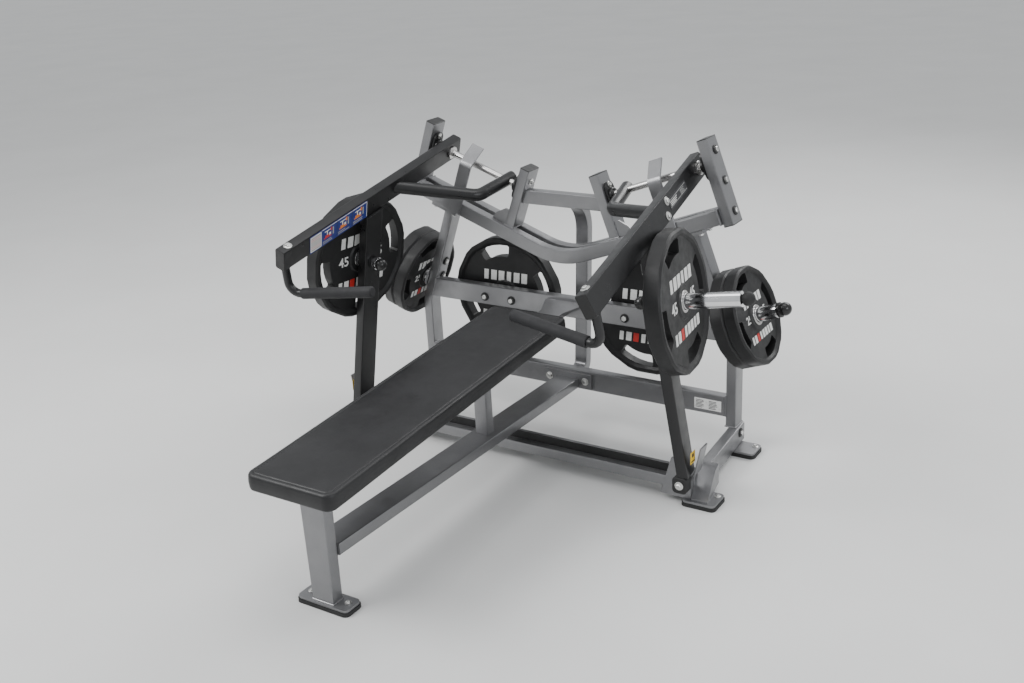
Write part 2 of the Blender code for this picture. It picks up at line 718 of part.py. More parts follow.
def grip(side, parent):
    """A rubber sleeve over the handle's straight run, closed at its inner end."""
    _, corner, end = handle_points()
    axis = (end - corner).normalized()
    start = corner + axis * 0.050
    length = (end - start).length
    stations = [(0, GRIP_RADIUS - 0.002), (0.002, GRIP_RADIUS), (length - 0.004, GRIP_RADIUS)]
    stations.append((length, GRIP_RADIUS - 0.004))
    bm = bmesh.new()
    turned(bm, start, axis, stations, 20)
    sleeve = finish(f"grip_{side}", bm, GRIP_RUBBER, SIDES[side], parent)
    bm = bmesh.new()
    reach = length - 0.004 + GAP
    turned(bm, start, axis, [(-0.01, HANDLE_RADIUS + GAP), (reach, HANDLE_RADIUS + GAP)], 20)
    boolean(sleeve, finish(f"grip_bore_{side}", bm, GRIP_RUBBER, SIDES[side], parent), "DIFFERENCE")


# Weight plates

def plate_ring(distance, radius, flat):
    """24 points round local X: a circle, or the rim's twelve flats with their corners eased."""
    ring = []
    for flat_number in range(12):
        for ease in (-10, 10):
            turn = radians(30 * flat_number + ease)
            reach = radius * cos(radians(12)) / cos(radians(ease)) if flat else radius
            ring.append(Vector((distance, reach * cos(turn), reach * sin(turn))))
    return ring


def plate_face(radius, distance, inwards):
    """The rings of one dished face, from the bore outwards for inwards 1 and back for -1."""
    steps = [(0.004, PLATE_BORE), (0.004, 0.052), (0.009, 0.058), (0.009, radius * 0.875)]
    steps.append((0.001, radius * 0.915))
    return [plate_ring(distance + inwards * depth, reach, False) for depth, reach in steps[::inwards]]


def plate_outside(radius, inner, outer):
    """The rings round one plate's rim, between its two faces."""
    steps = [(inner, 0.97), (inner + 0.006, 1), (outer - 0.006, 1), (outer, 0.97)]
    return [plate_ring(distance, radius * share, True) for distance, share in steps]


def hand_slot(radius, middle, low, high):
    """One hand opening: a wedge round the plate's axis, with its corners eased."""
    turns = [(SLOT_OUTER, SLOT_HALF * step / 2 * 0.9) for step in range(-2, 3)]
    turns += [(SLOT_OUTER - 0.02, SLOT_HALF), (SLOT_INNER + 0.02, SLOT_HALF)]
    turns += [(SLOT_INNER, -SLOT_HALF * step / 2 * 0.9) for step in range(-2, 3)]
    turns += [(SLOT_INNER + 0.02, -SLOT_HALF), (SLOT_OUTER - 0.02, -SLOT_HALF)]
    outline = []
    for share, turn in turns:
        reach = radius * share
        outline.append(Vector((low, reach * cos(middle + turn), reach * sin(middle + turn))))
    bm = bmesh.new()
    extruded(bm, outline, X * (high - low))
    return bm


def weight_plate(name, radius, spans, coat, side, parent, location, axis):
    """A twelve-sided rubber plate, or a stack of them, with its hand openings.

    spans holds each plate's two distances along the axis; location is the outermost face.
    """
    rings = []
    for inner, outer in spans:
        rings += plate_outside(radius, inner, outer)
    rings = plate_face(radius, spans[0][0], 1) + rings + plate_face(radius, spans[-1][1], -1)
    bm = bmesh.new()
    loft(bm, rings, closed=True)
    sign = SIDES[side]
    plate = finish(name, bm, coat, sign, parent)
    turn = Vector((sign, 0, 0)).rotation_difference(Vector((sign * axis.x, axis.y, axis.z)))
    place = Vector((sign * location.x, location.y, location.z))
    pieces = [plate]
    for number in range(SLOT_COUNT):
        turn_of_slot = SLOT_TURN + 2 * pi * number / SLOT_COUNT
        slot = hand_slot(radius, turn_of_slot, spans[0][0] - 0.01, spans[-1][1] + 0.01)
        cutter = finish(f"{name}_slot_{number}", slot, coat, sign, parent)
        boolean(plate, cutter, "DIFFERENCE")
        pieces.append(cutter)
    for piece in pieces:
        piece.location = place
        piece.rotation_mode = "QUATERNION"
        piece.rotation_quaternion = turn


def storage_plates(side):
    seat = upright_s() + TUBE_THIN / 2 + 0.0105
    top = seat + 2 * SIDE_PLATE_THICK
    spans = [(-2 * SIDE_PLATE_THICK, -SIDE_PLATE_THICK), (-SIDE_PLATE_THICK, 0)]
    place = sloped(top, SIDE_STORE_Y, SIDE_STORE_H)
    weight_plate(f"side_plates_{side}", SIDE_PLATE_RADIUS, spans, RUBBER, side, MACHINE, place, UP_SHAFT)
    face = BEAM_Y + TUBE_THIN + 0.0105 + PLATE_THICK
    place = Vector((STORE_X, face, STORE_Z))
    spans = [(-PLATE_THICK, 0)]
    weight_plate(f"rear_plate_{side}", PLATE_RADIUS, spans, RUBBER, side, MACHINE, place, Y)


def lever(side):
    sign = SIDES[side]
    place = Vector((sign * PIVOT.x, PIVOT.y, PIVOT.z))
    parent = empty(f"lever_{side}", place, -sign * SLOPE, MACHINE)
    for piece in (lever_arm, lever_shaft, lever_brace, lever_post, plate_horn, horn_cap, handle, grip):
        piece(side, parent)
    spans = [(-PLATE_THICK, 0)]
    place = lever_point(PLATE_FACE)
    weight_plate(f"loaded_plate_{side}", PLATE_RADIUS, spans, RUBBER, side, parent, place, horn_axis())


def build():
    for piece in (bench_pad, pad_board, front_leg, spine, mid_post, head_bracket, front_tie):
        piece()
    rubber_foot("front_rubber_foot", (-0.094, 0.094), (-0.011, 0.063))
    for piece in (low_cross_tube, front_wing, rear_wing, centre_upright):
        piece()
    cross_tube("middle_beam", upright_s() - TUBE_THIN / 2 - GAP, BEAM_Y + TUBE_THIN / 2, BEAM_Z)
    cross_tube("top_bar", INNER_TOWER_S - TUBE_THIN / 2 - GAP, TOP_BAR_Y, TOP_BAR_Z)
    paired = (side_rail, stop_plate, stop_bumper, upright, outer_tower, inner_tower, bearings)
    for side in SIDES:
        for piece in paired + (storage_horns, storage_plates, lever):
            piece(side)


build()
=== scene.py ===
"""Looks of the plate-loaded bench press: materials, upholstery, fasteners, labels and light.

The CAD nodes stay as the frame. Places are given as in the CAD part: y counts from the front
face of the bench's leg, and pieces square to the sloping shafts are placed by s, y and h.
"""

import json
from math import atan2, cos, pi, radians, sin

import bpy
import numpy as np
from mathutils import Matrix, Vector, noise


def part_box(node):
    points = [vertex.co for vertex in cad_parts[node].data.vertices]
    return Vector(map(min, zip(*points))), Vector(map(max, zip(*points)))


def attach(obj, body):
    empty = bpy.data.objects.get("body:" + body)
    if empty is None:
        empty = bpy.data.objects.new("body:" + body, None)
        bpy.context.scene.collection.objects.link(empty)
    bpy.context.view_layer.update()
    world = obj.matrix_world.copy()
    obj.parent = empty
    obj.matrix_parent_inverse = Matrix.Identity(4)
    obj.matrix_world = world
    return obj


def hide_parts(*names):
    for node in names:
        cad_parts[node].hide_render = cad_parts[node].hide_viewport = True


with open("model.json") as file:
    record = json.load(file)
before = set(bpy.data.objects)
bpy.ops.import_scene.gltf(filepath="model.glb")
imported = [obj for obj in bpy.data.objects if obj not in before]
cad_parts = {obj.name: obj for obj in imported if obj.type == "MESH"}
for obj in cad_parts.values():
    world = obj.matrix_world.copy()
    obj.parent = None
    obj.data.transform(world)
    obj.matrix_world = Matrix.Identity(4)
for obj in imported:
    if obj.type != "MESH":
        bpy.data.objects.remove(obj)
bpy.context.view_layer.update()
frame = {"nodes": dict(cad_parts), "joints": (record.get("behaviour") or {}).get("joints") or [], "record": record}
RECORD = frame["record"]
JOINTS = {joint["name"]: joint for joint in frame["joints"]}

# Driving dimensions, as in the CAD part
SLOPE = radians(20)
TUBE_THIN = 0.038
TUBE_DEEP = 0.076
GAP = 0.0003
PAD_FRONT = -0.084
PAD_THICK = 0.050
PAD_CORNER = 0.030
PAD_RISE = 0.065
FOOT_TOP = 0.0203
UPRIGHT_S = 0.7279
UPRIGHT_X = 0.6363
UPRIGHT_Y = 1.4533
UPRIGHT_DEEP = 0.0635
OUTER_TOWER_S = 0.874
OUTER_TOWER_H = (0.552, 0.8395)
INNER_TOWER_S = 0.451
INNER_TOWER_TOP = 0.838
TOWER_Y = 1.428
PIVOT_H = 0.756
BEAM_Y = 1.4142
BEAM_BACK = BEAM_Y + TUBE_THIN
BEAM_Z = (0.4025, 0.4785)
LOW_TUBE_MIDDLE = 0.1645
WINGS_Y = (1.395, 1.459)
WING_H = 0.5874
WING_TALL = 0.050
STORE_X = 0.296
STORE_Z = 0.434
STORE_LENGTH = 0.168
SIDE_STORE_Y = 1.440
SIDE_STORE_H = 0.233
SIDE_STORE_LENGTH = 0.174
ARM_S = 0.7975
POST_S = 0.7898
ARM_FALL = radians(12.96)
ARM_FRONT_Y = 0.568
ARM_TAIL = 0.050
TIE_FACE = 1.0432
BEARING_THICK = 0.0103
SPINE_PLATE_THICK = 0.0123
WING_PLATE_THICK = 0.0115
PLATE_RADIUS = 0.225
PLATE_THICK = 0.0555
SIDE_PLATE_RADIUS = 0.170
SIDE_STACK = 0.096
BALL_RADIUS = 0.022
SIDES = {"right": 1, "left": -1}

# Sizes of the details
SKIN = 0.0004  # how far a detail stands clear of the face under it
DISH_DEPTH = 0.009  # from a plate's rim down to its face
PRINT_RISE = 0.0012  # how far moulded figures stand up
STICKER_THICK = 0.0006
INK_RISE = 0.0002  # a sticker's marks, each later one a little higher
WELD_RADIUS = 0.0024
WELD_STEP = 0.0036
WELD_RIPPLE = 0.22
WELD_CLEAR = 0.0005  # from a joint to its bead's centre line
KNOB_RADIUS = 0.0216
HORN_TO_CAP = 0.027  # from a storage horn's rubber end to the middle of its cap
CAP_COLLAR = 0.019
SEAM_INSET = 0.0155
CROWN = 0.0035
NEARLY_POLE = pi / 2 * 0.985  # a ball's last ring, seen from its middle
SHARP = radians(32)  # edges steeper than this stay sharp

X = Vector((1, 0, 0))
Y = Vector((0, 1, 0))
Z = Vector((0, 0, 1))
LEG_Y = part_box("bench_pad")[0].y - PAD_FRONT


def slope_axes(side):
    """(outwards along the shaft, upwards and square to it) on one side."""
    sign = SIDES[side]
    return Vector((sign * cos(SLOPE), 0, sin(SLOPE))), Vector((-sign * sin(SLOPE), 0, cos(SLOPE)))


def at(x, y, z):
    """A point given with y counted from the leg's front face."""
    return Vector((x, y + LEG_Y, z))


def sloped(side, s, y, h):
    """A point given by s outwards along the shaft, y, and h square to the shaft."""
    out, up = slope_axes(side)
    return out * s + up * h + Y * (y + LEG_Y)


# Materials

class Nodes:
    """Short calls for building one material's nodes."""

    def __init__(self, name):
        self.material = bpy.data.materials.new(name)
        self.material.use_nodes = True
        self.tree = self.material.node_tree
        self.shader = self.tree.nodes["Principled BSDF"]
        self.place = self.add("ShaderNodeTexCoord").outputs["Object"]

    def add(self, kind, **settings):
        node = self.tree.nodes.new(kind)
        for key, value in settings.items():
            setattr(node, key, value)
        return node

    def link(self, source, target):
        self.tree.links.new(source, target)

    def noise(self, scale, detail=3.0, roughness=0.55, stretch=None):
        node = self.add("ShaderNodeTexNoise")
        node.inputs["Scale"].default_value = scale
        node.inputs["Detail"].default_value = detail
        node.inputs["Roughness"].default_value = roughness
        self.link(self.stretched(stretch), node.inputs["Vector"])
        return node.outputs["Fac"]

    def cells(self, scale):
        node = self.add("ShaderNodeTexVoronoi", feature="DISTANCE_TO_EDGE")
        node.inputs["Scale"].default_value = scale
        self.link(self.place, node.inputs["Vector"])
        return node.outputs["Distance"]

    def stretched(self, stretch):
        """The object's own coordinates, scaled along each axis."""
        if stretch is None:
            return self.place
        node = self.add("ShaderNodeMapping")
        node.inputs["Scale"].default_value = stretch
        self.link(self.place, node.inputs["Vector"])
        return node.outputs["Vector"]

    def ramp(self, factor, stops):
        """Colours at positions along a factor."""
        node = self.add("ShaderNodeValToRGB")
        elements = node.color_ramp.elements
        while len(elements) < len(stops):
            elements.new(0.5)
        for element, (position, colour) in zip(elements, stops):
            element.position = position
            element.color = (*colour, 1)
        self.link(factor, node.inputs["Fac"])
        return node.outputs["Color"]

    def range(self, factor, low, high):
        """The middle of a noise's spread, stretched to run from low to high."""
        node = self.add("ShaderNodeMapRange")
        node.inputs["From Min"].default_value = 0.3
        node.inputs["From Max"].default_value = 0.7
        node.inputs["To Min"].default_value = low
        node.inputs["To Max"].default_value = high
        self.link(factor, node.inputs["Value"])
        return node.outputs["Result"]

    def mixer(self, kind):
        """A colour mix node's factor, its two colours and its result."""
        node = self.add("ShaderNodeMix", data_type="RGBA", blend_type=kind)
        first, second = [socket for socket in node.inputs if socket.type == "RGBA"]
        result = next(socket for socket in node.outputs if socket.type == "RGBA")
        return node.inputs[0], first, second, result

    def dusted(self, amount, base, colour):
        """The base with an amount of one even colour over it."""
        factor, first, second, result = self.mixer("MIX")
        self.link(amount, factor)
        self.link(base, first)
        second.default_value = (*colour, 1)
        return result

    def multiply(self, base, marks):
        factor, first, second, result = self.mixer("MULTIPLY")
        factor.default_value = 1
        self.link(base, first)
        self.link(marks, second)
        return result

    def bump(self, heights):
        """Stack (height, strength, distance) layers of relief."""
        normal = None
        for height, strength, distance in heights:
            node = self.add("ShaderNodeBump")
            node.inputs["Strength"].default_value = strength
            node.inputs["Distance"].default_value = distance
            self.link(height, node.inputs["Height"])
            if normal is not None:
                self.link(normal, node.inputs["Normal"])
            normal = node.outputs["Normal"]
        self.link(normal, self.shader.inputs["Normal"])

    def colour(self, output):
        self.link(output, self.shader.inputs["Base Color"])

    def roughness(self, output):
        self.link(output, self.shader.inputs["Roughness"])

    def fixed(self, **values):
        """Set the shader's own sockets, with _ for each space in a name."""
        for name, value in values.items():
            self.shader.inputs[name.replace("_", " ")].default_value = value


def shade(colour, amount):
    return tuple(min(1.0, channel * amount) for channel in colour)


def powder_coat(name, colour, metallic, rough, flake=0.12):
    """Sprayed powder: fine orange peel, a grain of flakes and faint handling marks."""
    made = Nodes(name)
    made.fixed(Metallic=metallic, Specular_IOR_Level=0.5)
    grain = made.noise(1500, 1)
    marks = made.noise(7, 5, 0.65)
    base = made.ramp(grain, [(0.3, shade(colour, 1 - flake)), (0.7, shade(colour, 1 + flake))])
    worn = made.ramp(marks, [(0.35, (0.90, 0.90, 0.91)), (0.65, (1.0, 1.0, 1.0))])
    made.colour(made.multiply(base, worn))
    made.roughness(made.range(made.noise(22, 4), rough - 0.08, rough + 0.08))
    made.bump([(made.noise(520, 2), 0.10, 0.0004), (grain, 0.06, 0.0002)])
    return made.material


def vinyl():
    """Upholstery vinyl: pebbled leather grain, fine creases and a soft sheen where it is used."""
    made = Nodes("black_vinyl_grain")
    made.fixed(Specular_IOR_Level=0.45)
    marks = made.noise(9, 4, 0.6)
    made.colour(made.ramp(marks, [(0.3, (0.007, 0.007, 0.0075)), (0.7, (0.014, 0.014, 0.015))]))
    made.roughness(made.range(made.noise(14, 3), 0.38, 0.52))
    folds = made.noise(60, 3)
    pebbles = made.cells(620)
    made.bump([(folds, 0.10, 0.002), (pebbles, 0.30, 0.0006), (made.noise(2400, 2), 0.10, 0.0002)])
    return made.material


def rubber(name, colour, rough, grain, dust):
    """Moulded rubber with a pitted skin and a little pale dust in its hollows."""
    made = Nodes(name)
    made.fixed(Specular_IOR_Level=0.35)
    skin = made.ramp(made.noise(grain, 3), [(0.3, shade(colour, 0.8)), (0.7, shade(colour, 1.2))])
    amount = made.range(made.noise(5, 6, 0.7), 0.0, 0.35)
    made.colour(made.dusted(amount, skin, (dust, dust, dust)))
    made.roughness(made.range(made.noise(30, 4), rough - 0.1, rough + 0.08))
    made.bump([(made.noise(grain, 3), 0.22, 0.0006), (made.noise(grain * 4, 2), 0.12, 0.0002)])
    return made.material


def bare_metal(name, colour, low, high, streak=(1, 1, 1)):
    """Plated or ground metal, with smudges and fine tool lines along one way."""
    made = Nodes(name)
    made.fixed(Metallic=1.0)
    smudge = made.noise(25, 4, 0.6)
    made.colour(made.ramp(smudge, [(0.3, shade(colour, 0.9)), (0.7, colour)]))
    made.roughness(made.range(smudge, low, high))
    made.bump([(made.noise(420, 3, 0.5, streak), 0.05, 0.0002)])
    return made.material


def printed(name, colour, rough=0.5):
    """Ink or moulded paint, a little uneven and scuffed."""
    made = Nodes(name)
    scuff = made.noise(90, 5, 0.7)
    made.colour(made.ramp(scuff, [(0.25, shade(colour, 0.72)), (0.5, colour)]))
    made.roughness(made.range(made.noise(60, 3), rough - 0.08, rough + 0.08))
    made.bump([(scuff, 0.06, 0.0002)])
    return made.material


def board_cloth():
    """The black dust cover on the back of the pad's board."""
    made = Nodes("black_board_cover")
    made.fixed(Specular_IOR_Level=0.2)
    weave = made.noise(900, 2, 0.5, (1, 0.25, 1))
    made.colour(made.ramp(weave, [(0.3, (0.010, 0.010, 0.010)), (0.7, (0.022, 0.021, 0.020))]))
    made.roughness(made.range(made.noise(20, 3), 0.75, 0.92))
    made.bump([(weave, 0.25, 0.0004)])
    return made.material


def floor_paint():
    """A pale, even studio floor."""
    made = Nodes("pale_floor")
    shades = [(0.3, (0.70, 0.70, 0.69)), (0.7, (0.74, 0.74, 0.73))]
    made.colour(made.ramp(made.noise(1.3, 4), shades))
    made.roughness(made.range(made.noise(3, 3), 0.5, 0.6))
    made.bump([(made.noise(300, 2), 0.05, 0.0005)])
    return made.material


SILVER = powder_coat("silver_powder", (0.27, 0.27, 0.275), 0.80, 0.36)
BLACK = powder_coat("black_powder", (0.0085, 0.0085, 0.009), 0.0, 0.34, flake=0.3)
VINYL = vinyl()
PLATE_RUBBER = rubber("plate_rubber", (0.010, 0.010, 0.0105), 0.50, 260, 0.030)
SHOE_RUBBER = rubber("shoe_rubber", (0.013, 0.013, 0.013), 0.62, 420, 0.05)
GRIP_RUBBER = rubber("grip_foam", (0.020, 0.020, 0.022), 0.72, 700, 0.040)
CHROME = bare_metal("chrome_plate", (0.80, 0.80, 0.81), 0.05, 0.16)
STEEL = bare_metal("ground_steel", (0.62, 0.61, 0.60), 0.22, 0.36, (1, 40, 40))
ZINC = bare_metal("zinc_plate", (0.70, 0.70, 0.68), 0.24, 0.42)
BOARD = board_cloth()
CAP = printed("black_plastic", (0.010, 0.010, 0.010), 0.46)
BALL = printed("gloss_black_plastic", (0.011, 0.011, 0.011), 0.24)
WHITE = printed("white_print", (0.78, 0.78, 0.76))
RED = printed("red_print", (0.52, 0.025, 0.02))
BLUE = printed("blue_print", (0.012, 0.028, 0.19))
YELLOW = printed("yellow_print", (0.85, 0.55, 0.03))
ORANGE = printed("orange_print", (0.75, 0.22, 0.03))
GREY = printed("grey_print", (0.34, 0.34, 0.33))
DARK_PRINT = printed("dark_print", (0.03, 0.03, 0.033))

COATS = {
    "silver_frame": SILVER,
    "black_frame": BLACK,
    "black_vinyl": VINYL,
    "black_board": BOARD,
    "black_rubber": PLATE_RUBBER,
    "grip_rubber": GRIP_RUBBER,
    "chrome": CHROME,
    "bright_steel": STEEL,
}
SHOES = ("front_rubber_foot", "rear_rubber_foot", "stop_bumper", "horn_cap")


def smooth_curves(mesh):
    """Shade smoothly across edges flatter than SHARP, weighing each face by its area."""
    faces = len(mesh.polygons)
    facing = np.empty(faces * 3)
    mesh.polygons.foreach_get("normal", facing)
    facing = facing.reshape(-1, 3)
    area = np.empty(faces)
    mesh.polygons.foreach_get("area", area)
    weighed = facing * area[:, None]
    meeting = {}
    corners = []
    for face in mesh.polygons:
        for vertex in face.vertices:
            key = tuple(round(v * 1e5) for v in mesh.vertices[vertex].co)
            meeting.setdefault(key, []).append(face.index)
            corners.append((key, face.index))
    normals = []
    for key, face in corners:
        near = np.array(meeting[key])
        flat = near[facing[near] @ facing[face] > cos(SHARP)]
        total = weighed[flat].sum(axis=0) if len(flat) else facing[face]
        normals.append(total / max(np.linalg.norm(total), 1e-12))
    mesh.shade_smooth()
    mesh.normals_split_custom_set(normals)


def coat_nodes():
    """Give every CAD node the material of its record slot, and shade its curves smoothly."""
    for part in RECORD["subparts"]:
        node = frame["nodes"][part["node"]]
        coat = COATS[part["material_slot"]]
        if part["node"].startswith(SHOES):
            coat = SHOE_RUBBER
        node.data.materials.clear()
        node.data.materials.append(coat)
        smooth_curves(node.data)


# Gathered details: small pieces that ride on one body are joined into one object

GATHERED = {}


def gather(group, body, coat, shape):
    """Keep a shape, (points, faces), for the object named group."""
    GATHERED.setdefault((group, body), []).append((coat, *shape))


def join_gathered():
    """Make one object of each group of shapes, with a material for each coat in it."""
    for (group, body), pieces in GATHERED.items():
        coats = []
        points = []
        faces = []
        numbers = []
        for coat, shape_points, shape_faces in pieces:
            if coat not in coats:
                coats.append(coat)
            start = len(points)
            points += shape_points
            faces += [tuple(start + i for i in face) for face in shape_faces]
            numbers += [coats.index(coat)] * len(shape_faces)
        mesh = bpy.data.meshes.new(group)
        mesh.from_pydata(points, [], faces)
        for coat in coats:
            mesh.materials.append(coat)
        mesh.polygons.foreach_set("material_index", numbers)
        mesh.shade_smooth()
        mesh.set_sharp_from_angle(angle=SHARP)
        made = bpy.data.objects.new(group, mesh)
        bpy.context.scene.collection.objects.link(made)
        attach(made, body)


# Shapes: each returns (points, faces)

CORNER_SIGNS = ((1, 1), (-1, 1), (-1, -1), (1, -1))


def skin(rings, closed=False):
    """Faces over a row of rings of equal length, capped at both ends unless it closes on itself."""
    size = len(rings[0])
    points = [point for ring in rings for point in ring]
    faces = []
    rows = len(rings) if closed else len(rings) - 1
    for row in range(rows):
        low = row * size
        high = (row + 1) % len(rings) * size
        for i in range(size):
            j = (i + 1) % size
            faces.append((low + i, low + j, high + j, high + i))
    if not closed:
        faces.append(tuple(reversed(range(size))))
        faces.append(tuple(range(len(points) - size, len(points))))
    return points, faces


def faced_out(rings, u, v, rise):
    """A skin over rings that turn from u to v and rise, with its faces outwards either way."""
    if u.cross(v).dot(rise) < 0:
        rings = [list(reversed(ring)) for ring in rings]
    return skin(rings)


def square_to(axis):
    """Two unit directions square to the unit axis and to each other."""
    across = axis.orthogonal().normalized()
    return across, axis.cross(across)


def circle(centre, axis, radius, sides, turn=0.0):
    """Points round a circle square to the unit axis."""
    across, other = square_to(axis)
    angles = [turn + 2 * pi * k / sides for k in range(sides)]
    return [centre + across * (radius * cos(a)) + other * (radius * sin(a)) for a in angles]


def lathe(origin, axis, stations, sides=24, turn=0.0):
    """A solid of revolution; each station is a distance along the axis and a radius."""
    axis = axis.normalized()
    return skin([circle(origin + axis * d, axis, r, sides, turn) for d, r in stations])


def annulus(origin, axis, inner, outer, low, high, ease=0.0006, sides=40):
    """A flat ring with eased edges, standing from low to high along the axis."""
    axis = axis.normalized()
    across, other = square_to(axis)
    profile = [(low, inner), (high - ease, inner), (high, inner + ease), (high, outer - ease)]
    profile += [(high - ease, outer), (low, outer)]
    rings = []
    for k in range(sides):
        angle = 2 * pi * k / sides
        way = across * cos(angle) + other * sin(angle)
        rings.append([origin + axis * distance + way * radius for distance, radius in profile])
    points, faces = skin(rings, closed=True)
    return points, [tuple(reversed(face)) for face in faces]


def brick(centre, u, v, w, ease=0.0):
    """A block from a face's centre: full sides u and v, rising by w, its top edge eased."""
    rise = w.normalized() * ease
    rings = []
    for level, inset in ((Vector(), 0.0), (w - rise, 0.0), (w, ease)):
        a = u / 2 - u.normalized() * inset
        b = v / 2 - v.normalized() * inset
        rings.append([centre + level + a * p + b * q for p, q in CORNER_SIGNS])
    return faced_out(rings, u, v, w)


def rope(path, radius, sides=8, ripple=0.0, closed=False):
    """A round bead along a path, its radius rippling like a weld's scales."""
    rings = []
    count = len(path)
    normal = None
    for i, point in enumerate(path):
        if closed:
            along = (path[(i + 1) % count] - path[i - 1]).normalized()
        else:
            along = (path[min(i + 1, count - 1)] - path[max(i - 1, 0)]).normalized()
        if normal is None:
            normal = along.orthogonal().normalized()
        normal = (normal - along * normal.dot(along)).normalized()
        other = along.cross(normal)
        size = radius * (1 + ripple * (i % 2) + 0.15 * ripple * noise.noise(point * 90))
        turns = [2 * pi * k / sides for k in range(sides)]
        rings.append([point + normal * (size * cos(t)) + other * (size * sin(t)) for t in turns])
    return skin(rings, closed)


def spaced(corners, step, closed=False):
    """The corners' path with points every step or less."""
    path = []
    ends = corners[1:] + corners[:1] if closed else corners[1:]
    for start, end in zip(corners, ends):
        count = max(1, round((end - start).length / step))
        path += [start.lerp(end, k / count) for k in range(count)]
    if not closed:
        path.append(corners[-1])
    return path


def lettering(text, size, depth):
    """Raised characters in the XY plane, centred, facing +Z."""
    curve = bpy.data.curves.new("lettering", "FONT")
    curve.body = text
    curve.size = size
    curve.extrude = depth / 2
    curve.offset = size * 0.012
    curve.align_x = "CENTER"
    curve.align_y = "CENTER"
    curve.resolution_u = 4
    writer = bpy.data.objects.new("lettering", curve)
    mesh = bpy.data.meshes.new_from_object(writer)
    points = [vert.co.copy() + Z * (depth / 2) for vert in mesh.vertices]
    faces = [tuple(face.vertices) for face in mesh.polygons]
    bpy.data.objects.remove(writer)
    bpy.data.curves.remove(curve)
    bpy.data.meshes.remove(mesh)
    return points, faces


def placed(shape, origin, right, up):
    """The shape with its XY plane at origin, and its X and Y along right and up."""
    right = right.normalized()
    face = right.cross(up).normalized()
    turn = Matrix((right, face.cross(right), face)).transposed().to_4x4()
    matrix = Matrix.Translation(origin) @ turn
    points, faces = shape
    return [matrix @ point for point in points], faces


# Fasteners and end caps

def bolt(body, point, axis, size=0.010, washer=0.0165, dark=False):
    """A hex head on its washer, on the face at point; a dark one has a black cup washer."""
    axis = axis.normalized()
    name = f"{body}_fasteners"
    thick = 0.0028 if dark else 0.0018
    stations = [(0, washer), (thick - 0.0006, washer), (thick, washer - 0.0012)]
    gather(name, body, CAP if dark else ZINC, lathe(point + axis * SKIN, axis, stations))
    seat = point + axis * (thick + SKIN)
    turn = radians(noise.noise(point * 37) * 60)
    flats = [(0, size), (size * 0.55, size), (size * 0.68, size * 0.86)]
    gather(name, body, ZINC, lathe(seat, axis, flats, 6, turn))
    crown = [(size * 0.6, size * 0.80), (size * 0.72, size * 0.70)]
    gather(name, body, ZINC, lathe(seat, axis, crown, 20))


def nut(body, point, axis, size=0.010, washer=0.0155):
    """A lock nut on a washer with the end of its bolt."""
    axis = axis.normalized()
    name = f"{body}_fasteners"
    thick = 0.002
    stations = [(0, washer), (thick * 0.7, washer), (thick, washer - 0.001)]
    gather(name, body, ZINC, lathe(point + axis * SKIN, axis, stations))
    seat = point + axis * thick
    flats = [(0, size), (size * 0.7, size), (size * 0.8, size * 0.85)]
    gather(name, body, ZINC, lathe(seat, axis, flats, 6, 0.3))
    crown = [(size * 0.7, size * 0.72), (size * 1.05, size * 0.66)]
    gather(name, body, ZINC, lathe(seat, axis, crown, 20))
    thread = [(size, size * 0.5), (size * 1.45, size * 0.5), (size * 1.55, size * 0.4)]
    gather(name, body, STEEL, lathe(seat, axis, thread, 16))


def end_cap(body, centre, u, v, axis, thick=0.0025):
    """A black plastic plug's flange on a tube's end."""
    corner = 0.006
    rings = []
    for level, inset in ((0, 0), (thick * 0.6, 0), (thick, 0.0015)):
        ring = []
        reach = corner - inset
        for quarter, (p, q) in enumerate(CORNER_SIGNS):
            for step in range(4):
                turn = pi / 2 * (quarter + step / 3)
                a = (u.length / 2 - corner) * p + reach * cos(turn)
                b = (v.length / 2 - corner) * q + reach * sin(turn)
                across = u.normalized() * a + v.normalized() * b
                ring.append(centre + axis.normalized() * (level + SKIN) + across)
        rings.append(ring)
    gather(f"{body}_end_caps", body, CAP, faced_out(rings, u, v, axis))


def weld(body, corners, closed=False, coat=SILVER):
    """A bead along straight runs between corners."""
    path = spaced(corners, WELD_STEP, closed)
    gather(f"{body}_welds", body, coat, rope(path, WELD_RADIUS, ripple=WELD_RIPPLE, closed=closed))


def round_weld(body, centre, axis, reach, coat, radius):
    """A bead round the foot of a rod."""
    count = max(12, round(2 * pi * reach / WELD_STEP))
    path = circle(centre, axis.normalized(), reach, count + count % 2)
    gather(f"{body}_welds", body, coat, rope(path, radius, ripple=WELD_RIPPLE, closed=True))


def tower_fasteners(side):
    """The bearings' bolts and nuts, and the dark bolts down the outer tower."""
    out, _ = slope_axes(side)
    outer, inner = OUTER_TOWER_S, INNER_TOWER_S
    half = TUBE_THIN / 2
    flange = half + BEARING_THICK
    for h in (0.798, 0.695, 0.591):
        bolt("frame", sloped(side, outer + half, TOWER_Y, h), out, 0.009, 0.0155, True)
    for h in (PIVOT_H + 0.037, PIVOT_H - 0.037):
        nut("frame", sloped(side, inner - half, TOWER_Y, h), -out, 0.008, 0.0135)
        bolt("frame", sloped(side, inner + flange, TOWER_Y, h), out, 0.0075, 0.0115)
        bolt("frame", sloped(side, outer - flange, TOWER_Y, h), -out, 0.0075, 0.0115)


